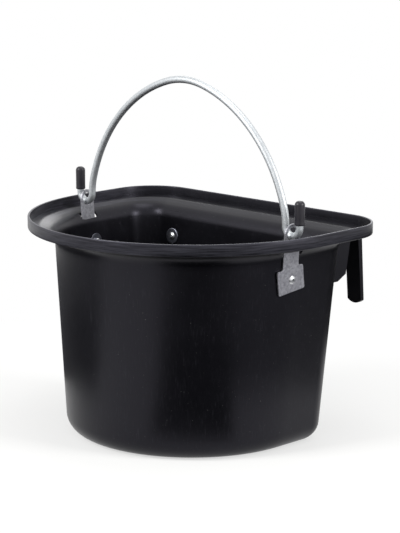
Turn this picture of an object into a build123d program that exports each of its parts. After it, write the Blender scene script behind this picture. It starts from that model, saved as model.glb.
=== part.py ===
"""Hang-on feed bucket: moulded D-shaped shell, two rear hooks, riveted bail brackets and a wire bail.

Millimetres. X runs along the flat back (right is +), Y points from the round front to the flat
back, Z is up. The origin lies on the underside of the base, half way between the rim's front
and back edges.
"""
from build123d import *
from math import asin, cos, radians, sin, sqrt
import os

# ---- moulded shell -------------------------------------------------------------------------
WALL = 2.5                    # wall of the body, the flare, the ledge and the lip
FLOOR = 3.0                   # floor thickness
RIM_Z = 248.0                 # top of the lip
RIM_HALF_WIDTH = 190.0
RIM_BACK_Y = 154.0
RIM_ARC_Y = 36.0              # centre of the rim's round front
RIM_CORNER_R = 55.0
LIP_HEIGHT = 13.5             # outside height of the upright lip
LIP_EDGE_R = 1.0              # rounding of the lip's top edges
LEDGE_SIDE = 13.0             # from the lip's outer face in to the flare, sides and front
LEDGE_BACK = 20.5             # the same along the flat back
LEDGE_CORNER_R = 40.0
FLARE_SIDE = 17.0             # outward run of the flare, sides and front
FLARE_BACK = 18.0             # the same along the flat back
FLARE_RISE = 8.0
BODY_CORNER_R = 31.0          # rear corners at the top of the body
TAPER_SIDE = 17.0             # how far each side wall comes in from top to base
TAPER_FRONT = 10.3
TAPER_BACK = 15.5
BASE_CORNER_R = 27.0
BASE_EDGE_R = 20.0            # rounding between the walls and the underside

# ---- rivets and washers --------------------------------------------------------------------
RIVET_R = 2.4
RIVET_HEAD_R = 4.75
RIVET_HEAD_H = 1.7
RIVET_BULB_R = 3.6
RIVET_BULB_H = 3.4
MANDREL_R = 1.3
MANDREL_HEAD_R = 2.0
MANDREL_BREAK = 1.2           # how far the snapped mandrel lies below the head's crown
RIVET_CLEARANCE = 0.1         # radial, round the rivet in its holes
WASHER_R = 9.5
WASHER_T = 1.2
WASHER_GAP = 0.05             # slack under a washer that bears on the curved wall

# ---- bail brackets -------------------------------------------------------------------------
BRACKET_Y = 18.0              # middle of the strip where it is riveted to the wall
SHEET = 2.0                   # bracket sheet
PLATE_WIDTH = 37.0
PLATE_HEIGHT = 27.5
PLATE_OFFSET = 1.5            # the plate sits this far behind the strip
PLATE_TURN = 9.0              # degrees that the plate's rear side is raised on its own plane
PLATE_DROP = 38.0             # the plate's centre and its rivet below the ledge's underside
PLATE_CORNER_R = 2.0
STRIP_WIDTH = 22.0
STRIP_CORNER_R = 2.5          # inside corners between the strip and the plate
EYE_RISE = 51.5               # from the rivet up the strip to the centre of its round head
EYE_HOLE_R = 7.2
BRACKET_RIVET_Y = {"right": 3.0, "left": 6.0}   # rivet behind the strip's centre line
SLOT_FRONT = 1.5              # slot past the strip's front edge
SLOT_REAR = 6.5               # slot past the strip's rear edge
SLOT_INNER = 1.2              # slot past the strip's inner face
SLOT_OUTER = 2.5              # slot past the strip's outer face

# ---- bail ----------------------------------------------------------------------------------
BAR_R = 4.0
EYE_CLEARANCE = 0.5           # bar to the lowest point of the eye
BEND_R = 10.0                 # end bend, from the arch's foot inside the eye to the stub outside
BEND_OFFSET = 0.5223          # middle of the bend outside the middle of the bracket's sheet
LOWER_ARC_R = 72.0
LOWER_ARC_ANGLE = 15.4
SHOULDER_ARC_R = 176.0
SHOULDER_ARC_ANGLE = 58.4
STUB_TOP = 27.5               # end of the bar above the centre of the bend
CAP_LENGTH = 26.5
CAP_WALL = 1.5
CAP_TOP_WALL = 2.2
CAP_CLEARANCE = 0.05          # radial, the cap's bore round the bar

# ---- rear hooks ----------------------------------------------------------------------------
HOOK_INSET = 77.5             # middle of the hook in from the lip's outer face at the side
HOOK_WIDTH = 20.0
HOOK_SKIN = 3.0               # side ribs and back plate of the hook's block
HOOK_RIVET_DROP = 38.0        # rivet below the ledge's underside
HOOK_DROP = 63.5              # underside of the block below the ledge's underside
HOOK_CHAMFER = 7.0
BLOCK_REACH = 46.0            # block's outer face behind the wall, at the seat
BLOCK_LEAN = 7.5              # the outer face comes back in by this much at the bottom
SEAT_DROP = 15.5              # rail seat below the ledge's underside
SEAT_WIDTH = 14.0
SEAT_CORNER_R = 2.5
LEG_THICKNESS = 5.0
LEG_SPLAY = 6.5               # the leg stands out by this much at its tip
LEG_DROP = 96.0               # tip of the leg below the ledge's underside
LEG_TIP_SAG = 4.0
HOOK_SHOULDER_R = 12.0
HOOK_TOP_GAP = 0.3            # between the hook's arm and the ledge above it

# ---- derived places ------------------------------------------------------------------------
LEDGE_Z = RIM_Z - LIP_HEIGHT                        # underside of the ledge
BODY_TOP_Z = LEDGE_Z - FLARE_RISE
PLATE_Z = LEDGE_Z - PLATE_DROP
HOOK_X = RIM_HALF_WIDTH - HOOK_INSET
HOOK_RIVET_Z = LEDGE_Z - HOOK_RIVET_DROP
HOOK_BOTTOM_Z = LEDGE_Z - HOOK_DROP
LEG_TIP_Z = LEDGE_Z - LEG_DROP
BODY_TOP = RIM_HALF_WIDTH - LEDGE_SIDE - FLARE_SIDE     # half width at the top of the body
BODY_TOP_BACK = RIM_BACK_Y - LEDGE_BACK - FLARE_BACK
BASE_HALF = BODY_TOP - TAPER_SIDE
BASE_ARC_Y = RIM_ARC_Y - (TAPER_SIDE - TAPER_FRONT)
BASE_BACK = BODY_TOP_BACK - TAPER_BACK
SIDE_SLOPE = TAPER_SIDE / BODY_TOP_Z
BACK_SLOPE = TAPER_BACK / BODY_TOP_Z


def d_outline(half_width, arc_y, back_y, corner_r, z):
    """Closed D-shaped face: round front, straight sides, flat back with rounded corners."""
    corner_y = back_y - corner_r
    corner_x = half_width - corner_r
    mid = corner_r * sqrt(0.5)
    front = ThreePointArc((-half_width, arc_y), (0, arc_y - half_width), (half_width, arc_y))
    right = Line((half_width, arc_y), (half_width, corner_y))
    right_corner = ThreePointArc(
        (half_width, corner_y), (corner_x + mid, corner_y + mid), (corner_x, back_y)
    )
    back = Line((corner_x, back_y), (-corner_x, back_y))
    left_corner = ThreePointArc(
        (-corner_x, back_y), (-corner_x - mid, corner_y + mid), (-half_width, corner_y)
    )
    left = Line((-half_width, corner_y), (-half_width, arc_y))
    face = make_face([front, right, right_corner, back, left_corner, left])
    return Pos(0, 0, z) * face


def joined(lower, upper):
    """Solid with straight walls from one D-outline to the next."""
    return loft([lower, upper], ruled=True)


def mitre(before, corner, after, distance):
    """Corner of a line run at a distance to the left of two joined runs, in (across, up)."""
    first = (Vector(*corner) - Vector(*before)).normalized()
    second = (Vector(*after) - Vector(*corner)).normalized()
    left_first = Vector(-first.Y, first.X)
    left_second = Vector(-second.Y, second.X)
    shift = (left_first + left_second) * (distance / (1 + left_first.dot(left_second)))
    return corner[0] + shift.X, corner[1] + shift.Y


def outer_form():
    """The shell's outside as one solid."""
    base = d_outline(BASE_HALF, BASE_ARC_Y, BASE_BACK, BASE_CORNER_R, 0)
    top = d_outline(BODY_TOP, RIM_ARC_Y, BODY_TOP_BACK, BODY_CORNER_R, BODY_TOP_Z)
    flare = d_outline(
        BODY_TOP + FLARE_SIDE, RIM_ARC_Y, BODY_TOP_BACK + FLARE_BACK, LEDGE_CORNER_R, LEDGE_Z
    )
    rim = d_outline(RIM_HALF_WIDTH, RIM_ARC_Y, RIM_BACK_Y, RIM_CORNER_R, LEDGE_Z)
    body = joined(base, top)
    body = fillet(body.edges().group_by(Axis.Z)[0], BASE_EDGE_R)
    return body + joined(top, flare) + extrude(rim, LIP_HEIGHT)


def inner_form():
    """The hollow as one solid, standing a little above the lip."""
    side_base = (BASE_HALF, 0)
    side_top = (BODY_TOP, BODY_TOP_Z)
    side_flare = (BODY_TOP + FLARE_SIDE, LEDGE_Z)
    inner_top, inner_top_z = mitre(side_base, side_top, side_flare, WALL)
    inner_flare = mitre(side_top, side_flare, (RIM_HALF_WIDTH, LEDGE_Z), WALL)[0]
    back_base = (BASE_BACK, 0)
    back_top = (BODY_TOP_BACK, BODY_TOP_Z)
    back_flare = (BODY_TOP_BACK + FLARE_BACK, LEDGE_Z)
    inner_top_back = mitre(back_base, back_top, back_flare, WALL)[0]
    inner_flare_back = mitre(back_top, back_flare, (RIM_BACK_Y, LEDGE_Z), WALL)[0]
    inner_z = LEDGE_Z + WALL
    inner_corner_r = BASE_CORNER_R - WALL
    floor_half = inner_top - SIDE_SLOPE * (inner_top_z - FLOOR)
    floor_back = inner_top_back - BACK_SLOPE * (inner_top_z - FLOOR)
    floor_arc_y = RIM_ARC_Y - (RIM_ARC_Y - BASE_ARC_Y) * (inner_top_z - FLOOR) / BODY_TOP_Z
    floor = d_outline(floor_half, floor_arc_y, floor_back, inner_corner_r, FLOOR)
    top = d_outline(
        inner_top, RIM_ARC_Y, inner_top_back, BODY_CORNER_R - WALL, inner_top_z
    )
    flare = d_outline(
        inner_flare, RIM_ARC_Y, inner_flare_back, LEDGE_CORNER_R - WALL, inner_z
    )
    rim = d_outline(
        RIM_HALF_WIDTH - WALL, RIM_ARC_Y, RIM_BACK_Y - WALL, RIM_CORNER_R - WALL, inner_z
    )
    hollow = joined(floor, top)
    hollow = fillet(hollow.edges().group_by(Axis.Z)[0], BASE_EDGE_R - WALL)
    return hollow + joined(top, flare) + extrude(rim, RIM_Z - inner_z + WALL)


def side_plane():
    """Plane on the right wall at the bracket's rivet height: x to the rear, z outward."""
    depth = BODY_TOP_Z - PLATE_Z
    half = BODY_TOP - SIDE_SLOPE * depth
    arc_slope = (RIM_ARC_Y - BASE_ARC_Y) / BODY_TOP_Z
    arc_y = RIM_ARC_Y - arc_slope * depth
    turn = asin((BRACKET_Y - arc_y) / half) if BRACKET_Y < arc_y else 0.0
    across = half * cos(turn)
    normal = (cos(turn), sin(turn), -SIDE_SLOPE - sin(turn) * arc_slope)
    return Plane((across, BRACKET_Y, PLATE_Z), x_dir=(-sin(turn), cos(turn), 0), z_dir=normal)


def back_plane(side):
    """Plane on the flat back at a hook's rivet: x to the left, z outward."""
    back = BODY_TOP_BACK - BACK_SLOPE * (BODY_TOP_Z - HOOK_RIVET_Z)
    return Plane((side * HOOK_X, back, HOOK_RIVET_Z), x_dir=(-1, 0, 0), z_dir=(0, 1, -BACK_SLOPE))


def flipped(plane, depth):
    """The same plane turned to face inward, moved inward by a depth."""
    return Plane(plane.origin - plane.z_dir * depth, x_dir=plane.x_dir, z_dir=-plane.z_dir)


def washer_seat(offset):
    """Depth of the bracket washer's outer face: the washer's edge touches the curved wall."""
    reach = WASHER_R + offset
    curve_r = BODY_TOP - SIDE_SLOPE * (BODY_TOP_Z - PLATE_Z) - WALL
    return WALL + curve_r - sqrt(curve_r ** 2 - reach ** 2) + WASHER_GAP


def blind_rivet(grip):
    """Dome-headed blind rivet set through a grip below z = 0, and its snapped mandrel."""
    dome_r = (RIVET_HEAD_R ** 2 + RIVET_HEAD_H ** 2) / (2 * RIVET_HEAD_H)
    dome = Pos(0, 0, RIVET_HEAD_H - dome_r) * Sphere(dome_r)
    head = dome & (Pos(0, 0, RIVET_HEAD_H / 2) * Cylinder(RIVET_HEAD_R, RIVET_HEAD_H))
    shank = Cylinder(RIVET_R, grip + 1, align=(Align.CENTER, Align.CENTER, Align.MAX))
    bulb = Pos(0, 0, -grip) * Cylinder(
        RIVET_BULB_R, RIVET_BULB_H, align=(Align.CENTER, Align.CENTER, Align.MAX)
    )
    bulb = fillet(bulb.edges(), RIVET_BULB_H / 4)
    length = grip + RIVET_BULB_H
    bore = Pos(0, 0, RIVET_HEAD_H) * Cylinder(
        MANDREL_R, 2 * length, align=(Align.CENTER, Align.CENTER, Align.MAX)
    )
    body = Pos(0, 0, 1) * shank & Pos(0, 0, -length / 2) * Cylinder(RIVET_HEAD_R, length)
    rivet = head + body + bulb - bore
    stem_top = RIVET_HEAD_H - MANDREL_BREAK
    stem = Pos(0, 0, stem_top) * Cylinder(
        MANDREL_R, length + stem_top, align=(Align.CENTER, Align.CENTER, Align.MAX)
    )
    ball = Pos(0, 0, -length) * Cylinder(
        MANDREL_HEAD_R, MANDREL_HEAD_R, align=(Align.CENTER, Align.CENTER, Align.MAX)
    )
    ball = fillet(ball.edges().group_by(Axis.Z)[0], MANDREL_HEAD_R / 2)
    return rivet, stem + ball


def washer():
    """Large flat washer below z = 0."""
    ring = Circle(WASHER_R) - Circle(RIVET_R + RIVET_CLEARANCE)
    disc = extrude(ring, -WASHER_T)
    return chamfer(disc.edges().filter_by(GeomType.CIRCLE).group_by(SortBy.RADIUS)[-1], 0.2)


def rivet_hole(depth):
    """Drill for a rivet's hole, centred on z = 0."""
    return Cylinder(RIVET_R + RIVET_CLEARANCE, 2 * depth)


def bracket(offset):
    """Sheet bracket in its own plane: riveted plate, strip and round eye."""
    plate = RectangleRounded(PLATE_WIDTH, PLATE_HEIGHT, PLATE_CORNER_R)
    plate = Pos(PLATE_OFFSET, 0) * Rot(0, 0, PLATE_TURN) * plate
    strip = Pos(0, EYE_RISE / 2) * Rectangle(STRIP_WIDTH, EYE_RISE)
    eye = Pos(0, EYE_RISE) * Circle(STRIP_WIDTH / 2)
    sheet = plate + strip + eye
    inside = [
        corner for corner in sheet.vertices()
        if 0 < corner.Y < EYE_RISE - 1 and abs(abs(corner.X) - STRIP_WIDTH / 2) < 0.01
    ]
    shoulder = (PLATE_WIDTH - STRIP_WIDTH) / 2 - PLATE_OFFSET - PLATE_CORNER_R
    sheet = fillet(inside, min(STRIP_CORNER_R, 0.9 * shoulder))
    sheet -= Pos(0, EYE_RISE) * Circle(EYE_HOLE_R)
    sheet -= Pos(offset, 0) * Circle(RIVET_R + RIVET_CLEARANCE)
    return extrude(sheet, SHEET)


def strip_slot(plane):
    """Slot through the flare for the bracket's strip."""
    rise = (BODY_TOP_Z - PLATE_Z) + FLARE_RISE + 2 * WALL
    width = STRIP_WIDTH + SLOT_FRONT + SLOT_REAR
    depth = SHEET + SLOT_INNER + SLOT_OUTER
    centre = ((SLOT_REAR - SLOT_FRONT) / 2, BODY_TOP_Z - PLATE_Z - WALL, -SLOT_INNER)
    cut = Box(width, rise, depth, align=(Align.CENTER, Align.MIN, Align.MIN))
    return plane * Pos(*centre) * cut


def pivot_point(plane):
    """Centre of the bar in the eye, on the strip's middle plane."""
    eye = plane.from_local_coords((0, EYE_RISE, SHEET / 2))
    return Vector(eye.X, eye.Y, eye.Z - EYE_HOLE_R + BAR_R + EYE_CLEARANCE)


def stub_x(pivot):
    """Centre line of the turned-up end, outside the bracket."""
    return pivot.X + BEND_OFFSET + BEND_R


def bail_path(pivot):
    """Centre line from the right-hand stub through the bend and the arch to the left."""
    outside = stub_x(pivot)
    middle = outside - BEND_R
    inside = middle - BEND_R
    bend_z = pivot.Z + BEND_R
    stub = Line((outside, bend_z + STUB_TOP), (outside, bend_z))
    bend = ThreePointArc((outside, bend_z), (middle, pivot.Z), (inside, bend_z))
    lower, turn, point = arc_step((inside, bend_z), 0.0, LOWER_ARC_R, LOWER_ARC_ANGLE)
    shoulder, turn, point = arc_step(point, turn, SHOULDER_ARC_R, SHOULDER_ARC_ANGLE)
    top_r = point[0] / cos(radians(turn))
    top_z = point[1] + top_r * (1 - sin(radians(turn)))
    crown = ThreePointArc(point, (0, top_z), (-point[0], point[1]))
    right = [stub, bend, lower, shoulder]
    left = [mirror(piece, about=Plane.YZ) for piece in right]
    return right, crown, left


def arc_step(start, turn, radius, angle):
    """One arc of the arch's right side, turning inward as it rises, with its end."""
    centre_x = start[0] - radius * cos(radians(turn))
    centre_z = start[1] - radius * sin(radians(turn))

    def at(degrees_round):
        return (
            centre_x + radius * cos(radians(degrees_round)),
            centre_z + radius * sin(radians(degrees_round)),
        )

    arc = ThreePointArc(start, at(turn + angle / 2), at(turn + angle))
    return arc, turn + angle, at(turn + angle)


def bail(pivot):
    """Round bar: arch and turned-up ends."""
    right, crown, left = bail_path(pivot)
    pieces = right + [crown] + left
    path = Plane.XZ.offset(-pivot.Y) * Wire(Curve() + pieces)
    start = Plane(path @ 0, z_dir=path % 0)
    return sweep(start * Circle(BAR_R), path=path)


def end_cap(pivot):
    """Vinyl cap on the right-hand stub, domed at the top."""
    bar_top = pivot.Z + BEND_R + STUB_TOP
    across = stub_x(pivot)
    outer_r = BAR_R + CAP_CLEARANCE + CAP_WALL
    top = bar_top + CAP_TOP_WALL
    blank = Pos(across, pivot.Y, top) * Cylinder(
        outer_r, CAP_LENGTH, align=(Align.CENTER, Align.CENTER, Align.MAX)
    )
    blank = fillet(blank.edges().group_by(Axis.Z)[-1], outer_r * 0.8)
    bore = Pos(across, pivot.Y, bar_top) * Cylinder(
        BAR_R + CAP_CLEARANCE, CAP_LENGTH, align=(Align.CENTER, Align.CENTER, Align.MAX)
    )
    return blank - bore


def hook_profile():
    """The hook's side outline in (y, z): block, seat, arm and leg."""
    top = LEDGE_Z - HOOK_TOP_GAP
    seat = LEDGE_Z - SEAT_DROP
    block_top = BODY_TOP_BACK + BLOCK_REACH
    block_low = block_top - BLOCK_LEAN
    leg_in = block_top + SEAT_WIDTH
    leg_low = leg_in + LEG_SPLAY
    wall_y = BODY_TOP_BACK - TAPER_BACK
    outline = Polyline(
        (wall_y, HOOK_BOTTOM_Z),
        (block_low - 2 * HOOK_CHAMFER, HOOK_BOTTOM_Z),
        (block_low, HOOK_BOTTOM_Z + HOOK_CHAMFER),
        (block_top, seat),
        (leg_in, seat),
        (leg_low, LEG_TIP_Z),
        (leg_low + LEG_THICKNESS, LEG_TIP_Z),
        (leg_in + LEG_THICKNESS, top),
        (wall_y, top),
        close=True,
    )
    face = make_face(outline)
    seat_corners = [v for v in face.vertices() if abs(v.Y - seat) < 0.01]
    face = fillet(seat_corners, SEAT_CORNER_R)
    shoulder = [
        v for v in face.vertices()
        if abs(v.Y - top) < 0.01 and abs(v.X - leg_in - LEG_THICKNESS) < 0.01
    ]
    return fillet(shoulder, HOOK_SHOULDER_R)


def hook(outer):
    """Right-hand hook, fitted to the shell's outside."""
    side = Plane(origin=(HOOK_X, 0, 0), x_dir=(0, 1, 0), z_dir=(1, 0, 0))
    body = extrude(side * hook_profile(), HOOK_WIDTH / 2, both=True)
    block_back = BODY_TOP_BACK + BLOCK_REACH - BLOCK_LEAN - HOOK_SKIN
    pocket_low = HOOK_BOTTOM_Z - 1
    pocket_top = LEDGE_Z - SEAT_DROP - HOOK_SKIN
    pocket = Pos(HOOK_X, BODY_TOP_BACK + HOOK_SKIN, pocket_low) * Box(
        HOOK_WIDTH - 2 * HOOK_SKIN,
        block_back - BODY_TOP_BACK - HOOK_SKIN,
        pocket_top - pocket_low,
        align=(Align.CENTER, Align.MIN, Align.MIN),
    )
    tip_r = (HOOK_WIDTH ** 2 / 4 + LEG_TIP_SAG ** 2) / (2 * LEG_TIP_SAG)
    tip = Plane.XZ * Pos(HOOK_X, LEG_TIP_Z + tip_r) * Circle(tip_r)
    tip_zone = Pos(HOOK_X, 0, LEG_TIP_Z) * Box(
        2 * HOOK_WIDTH, 4 * RIM_BACK_Y, 2 * LEG_TIP_SAG
    )
    rounded = extrude(tip, 2 * RIM_BACK_Y, both=True)
    body -= tip_zone - rounded
    plane = back_plane(1)
    body -= pocket
    body -= outer
    return body - plane * rivet_hole(2 * HOOK_SKIN + WALL)


def both_sides(name, right):
    """The right-hand piece and its mirror image, by node name."""
    return {f"right_{name}": right, f"left_{name}": mirror(right, about=Plane.YZ)}


def build():
    """All the pieces of the bucket by node name."""
    parts = {}
    outer = outer_form()
    shell = outer - inner_form()
    lip_edges = [edge for edge in shell.edges() if edge.bounding_box().min.Z > RIM_Z - 0.01]
    shell = fillet(lip_edges, LIP_EDGE_R)

    wall = side_plane()
    slot = strip_slot(wall)
    shell = shell - slot - mirror(slot, about=Plane.YZ)
    for side, offset in BRACKET_RIVET_Y.items():
        sheet = wall * bracket(offset)
        seat = washer_seat(offset)
        rivet, mandrel = blind_rivet(SHEET + seat + WASHER_T)
        at_rivet = wall * Pos(offset, 0, 0)
        pieces = {
            "bail_bracket": sheet,
            "bracket_washer": at_rivet * Pos(0, 0, -seat) * washer(),
            "bracket_rivet": at_rivet * Pos(0, 0, SHEET) * rivet,
            "bracket_mandrel": at_rivet * Pos(0, 0, SHEET) * mandrel,
        }
        drill = at_rivet * rivet_hole(seat + SHEET)
        if side == "left":
            pieces = {name: mirror(piece, about=Plane.YZ) for name, piece in pieces.items()}
            drill = mirror(drill, about=Plane.YZ)
        shell -= drill
        parts.update({f"{side}_{name}": piece for name, piece in pieces.items()})

    back = back_plane(1)
    drill = back * rivet_hole(WALL + HOOK_SKIN)
    shell = shell - drill - mirror(drill, about=Plane.YZ)
    inside = flipped(back, WALL)
    hook_plate = HOOK_SKIN + BACK_SLOPE * (BODY_TOP_Z - HOOK_RIVET_Z + RIVET_BULB_R)
    rivet, mandrel = blind_rivet(WASHER_T + WALL + hook_plate)
    on_washer = inside * Pos(0, 0, WASHER_T)
    parts.update(both_sides("hook", hook(outer)))
    parts.update(both_sides("hook_washer", on_washer * washer()))
    parts.update(both_sides("hook_rivet", on_washer * rivet))
    parts.update(both_sides("hook_mandrel", on_washer * mandrel))

    pivot = pivot_point(wall)
    parts["bail_handle"] = bail(pivot)
    parts.update(both_sides("bail_cap", end_cap(pivot)))
    parts["bucket_shell"] = shell
    return parts, pivot


parts, pivot = build()
os.makedirs("parts", exist_ok=True)
for name, solid in parts.items():
    solid.label = name
    export_step(solid, f"parts/{name}.step")
print(f"bail hinge line: y {pivot.Y:.3f}, z {pivot.Z:.3f}; eye at x {pivot.X:.3f}")
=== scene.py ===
"""Hang-on stable feed bucket: smooth pieces, finishes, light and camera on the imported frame.

Sizes in the classes are millimetres and become metres as a mesh is made. X runs along the flat
back, Y from the round front to the flat back, and Z is up, with the underside at Z = 0.
"""

import logging
import math
from collections.abc import Callable, Sequence
from dataclasses import dataclass, field, replace
from enum import Enum

import bpy
from mathutils import Matrix, Vector

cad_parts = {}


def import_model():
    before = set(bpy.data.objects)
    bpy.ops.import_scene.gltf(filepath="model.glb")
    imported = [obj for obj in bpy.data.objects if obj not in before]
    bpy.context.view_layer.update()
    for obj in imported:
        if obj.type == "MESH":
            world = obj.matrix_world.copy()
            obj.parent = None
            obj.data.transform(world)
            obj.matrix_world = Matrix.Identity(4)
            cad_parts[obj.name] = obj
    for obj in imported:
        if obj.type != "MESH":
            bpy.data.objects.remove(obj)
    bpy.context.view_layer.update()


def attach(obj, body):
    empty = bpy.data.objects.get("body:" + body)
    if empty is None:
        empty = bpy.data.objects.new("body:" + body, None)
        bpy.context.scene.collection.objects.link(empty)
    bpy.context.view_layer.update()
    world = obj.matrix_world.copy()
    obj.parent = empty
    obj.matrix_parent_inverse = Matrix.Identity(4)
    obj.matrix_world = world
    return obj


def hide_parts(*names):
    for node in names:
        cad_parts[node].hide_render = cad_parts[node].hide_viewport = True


MM = 0.001
TOUCH = 1e-6  # places nearer than this count as one, in metres
LEVEL = 1e-5  # heights nearer than this count as one, in metres
LOG = logging.getLogger("feed_bucket")
Flat = tuple[float, float]
Point = tuple[float, float, float]
Piece = bpy.types.Object
Material = bpy.types.Material
Tree = bpy.types.NodeTree
Socket = bpy.types.NodeSocket


class Side(Enum):
    """Side of the bucket, as the sign of X."""

    LEFT = -1
    RIGHT = 1

    @property
    def label(self) -> str:
        """The side's name in lower case."""
        return self.name.lower()


class Element(Enum):
    """Kind of mesh element that is picked, as Blender's select mode."""

    VERTEX = (True, False, False)
    EDGE = (False, True, False)
    FACE = (False, False, True)


# ---- bench tools ----------------------------------------------------------------------------


def deselect_all() -> None:
    """Leave edit mode and deselect every object."""
    if bpy.context.mode != "OBJECT":
        bpy.ops.object.mode_set(mode="OBJECT")
    bpy.ops.object.select_all(action="DESELECT")


def take(piece: Piece) -> Piece:
    """Select one piece alone and make it active.

    Args:
        piece: The object to work on.

    Returns:
        The same object.
    """
    deselect_all()
    piece.select_set(True)
    bpy.context.view_layer.objects.active = piece
    return piece


def open_with(piece: Piece, element: Element, chosen: Sequence[bool]) -> None:
    """Open the active piece for editing, with some of its elements selected.

    Args:
        piece: The active mesh object.
        element: What is selected.
        chosen: Whether each element of that kind is selected, in the mesh's order.
    """
    mesh = piece.data
    for group, wanted in zip((mesh.vertices, mesh.edges, mesh.polygons), element.value):
        group.foreach_set("select", chosen if wanted else [False] * len(group))
    bpy.context.tool_settings.mesh_select_mode = element.value
    bpy.ops.object.mode_set(mode="EDIT")


def everything(*places: Vector) -> bool:
    """The test that every element passes.

    Args:
        *places: The element's places, whatever they are.

    Returns:
        True.
    """
    return True


def pick(piece: Piece, element: Element, test: Callable[..., bool] = everything) -> None:
    """Select the elements of a mesh that pass a test, and open it for editing.

    Args:
        piece: The mesh object.
        element: What is picked.
        test: Gets a vertex's place, an edge's two ends, or a face's middle and normal.
    """
    mesh = take(piece).data
    if element is Element.VERTEX:
        chosen = [test(vertex.co) for vertex in mesh.vertices]
    elif element is Element.EDGE:
        ends = ([mesh.vertices[index].co for index in edge.vertices] for edge in mesh.edges)
        chosen = [test(*pair) for pair in ends]
    else:
        chosen = [test(face.center, face.normal) for face in mesh.polygons]
    open_with(piece, element, chosen)


def close(piece: Piece) -> Piece:
    """Leave edit mode, and give back the object that was edited.

    Args:
        piece: The object that is open for editing.

    Returns:
        The same object.
    """
    bpy.ops.object.mode_set(mode="OBJECT")
    return piece


def pull(step: Sequence[float]) -> None:
    """Extrude what is picked by a step in metres.

    Args:
        step: How far and which way.
    """
    bpy.ops.mesh.extrude_region_move(TRANSFORM_OT_translate={"value": step})


def bevel(offset: float, segments: int, affect: str = "EDGES") -> None:
    """Round the picked edges or vertices, from an offset in millimetres.

    Args:
        offset: How far the rounding reaches.
        segments: Steps round it.
        affect: "EDGES" or "VERTICES".
    """
    bpy.ops.mesh.bevel(
        offset=offset * MM, segments=segments, profile=0.5, affect=affect, clamp_overlap=False
    )


def settle(piece: Piece) -> Piece:
    """Put a piece's place, turn and size into its mesh.

    Args:
        piece: The object to settle.

    Returns:
        The same object, at the origin.
    """
    take(piece)
    bpy.ops.object.transform_apply(location=True, rotation=True, scale=True)
    return piece


def stand(piece: Piece, place: Matrix) -> Piece:
    """Move a piece from the origin to the place of a frame, and settle it there.

    Args:
        piece: The piece, made at the origin.
        place: The frame.

    Returns:
        The same object.
    """
    piece.matrix_world = place
    return settle(piece)


def start(name: str, operator: Callable[..., set[str]], **settings: object) -> Piece:
    """Add a primitive, name it and its mesh, and settle it.

    Args:
        name: The piece's name.
        operator: Blender's operator that adds the primitive.
        **settings: The primitive's size and place.

    Returns:
        The new object.
    """
    deselect_all()
    operator(**settings)
    piece = bpy.context.active_object
    piece.name = name
    piece.data.name = name
    return settle(piece)


def weld(piece: Piece) -> Piece:
    """Merge doubled vertices and turn every face outwards.

    Args:
        piece: The mesh object.

    Returns:
        The same object.
    """
    pick(piece, Element.VERTEX)
    bpy.ops.mesh.remove_doubles(threshold=TOUCH)
    bpy.ops.mesh.normals_make_consistent(inside=False)
    return close(piece)


def modify(piece: Piece, kind: str, **settings: object) -> Piece:
    """Add a modifier with its settings and apply it.

    Args:
        piece: The mesh object.
        kind: Blender's modifier type.
        **settings: The modifier's properties.

    Returns:
        The same object.
    """
    take(piece)
    modifier = piece.modifiers.new(kind.lower(), kind)
    for key, value in settings.items():
        setattr(modifier, key, value)
    bpy.ops.object.modifier_apply(modifier=modifier.name)
    return piece


def cut(piece: Piece, *tools: Piece) -> Piece:
    """Cut pieces away from a solid, and throw the cutting pieces away.

    Args:
        piece: The solid that stays.
        *tools: The solids that are cut away.

    Returns:
        The same object.
    """
    for tool in tools:
        modify(piece, "BOOLEAN", operation="DIFFERENCE", object=tool, solver="EXACT")
        bpy.data.objects.remove(tool)
    return piece


def mirrored(piece: Piece, name: str) -> Piece:
    """Copy a right-hand piece to the left, with its own mesh.

    Args:
        piece: The right-hand piece.
        name: The copy's name.

    Returns:
        The left-hand piece.
    """
    take(piece)
    bpy.ops.object.duplicate(linked=False)
    copy = bpy.context.active_object
    copy.scale.x = -1
    copy.name = name
    copy.data.name = name
    settle(copy)
    pick(copy, Element.FACE)
    bpy.ops.mesh.normals_make_consistent(inside=False)
    return close(copy)


def moved_left(piece: Piece) -> Piece:
    """Mirror a piece to the left and throw the right-hand one away.

    Args:
        piece: The piece, made on the right.

    Returns:
        Its mirror image, under the same name.
    """
    name = piece.name
    left = mirrored(piece, f"{name}_turned")
    bpy.data.objects.remove(piece)
    left.name = name
    return left


def draw(name: str, points: Sequence[Point], shut: bool = False) -> Piece:
    """Draw a line by extruding one vertex from point to point.

    Args:
        name: The piece's name.
        points: The line's points, in metres.
        shut: Whether the line ends where it began, and is filled.

    Returns:
        The line's object.
    """
    piece = start(name, bpy.ops.mesh.primitive_plane_add, size=MM, location=points[0])
    pick(piece, Element.VERTEX)
    bpy.ops.mesh.merge(type="CENTER")
    for here, there in zip(points, points[1:]):
        pull(Vector(there) - Vector(here))
    if shut:
        bpy.ops.mesh.select_all(action="SELECT")
        bpy.ops.mesh.edge_face_add()
    return close(piece)


def slab(name: str, outline: Sequence[Point], step: Point) -> Piece:
    """Extrude a flat outline into a solid.

    Args:
        name: The piece's name.
        outline: The outline's points, in metres.
        step: Where the far face lies from the near one, in metres.

    Returns:
        The solid.
    """
    piece = draw(name, outline, shut=True)
    pick(piece, Element.FACE)
    pull(step)
    close(piece)
    return weld(piece)


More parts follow.
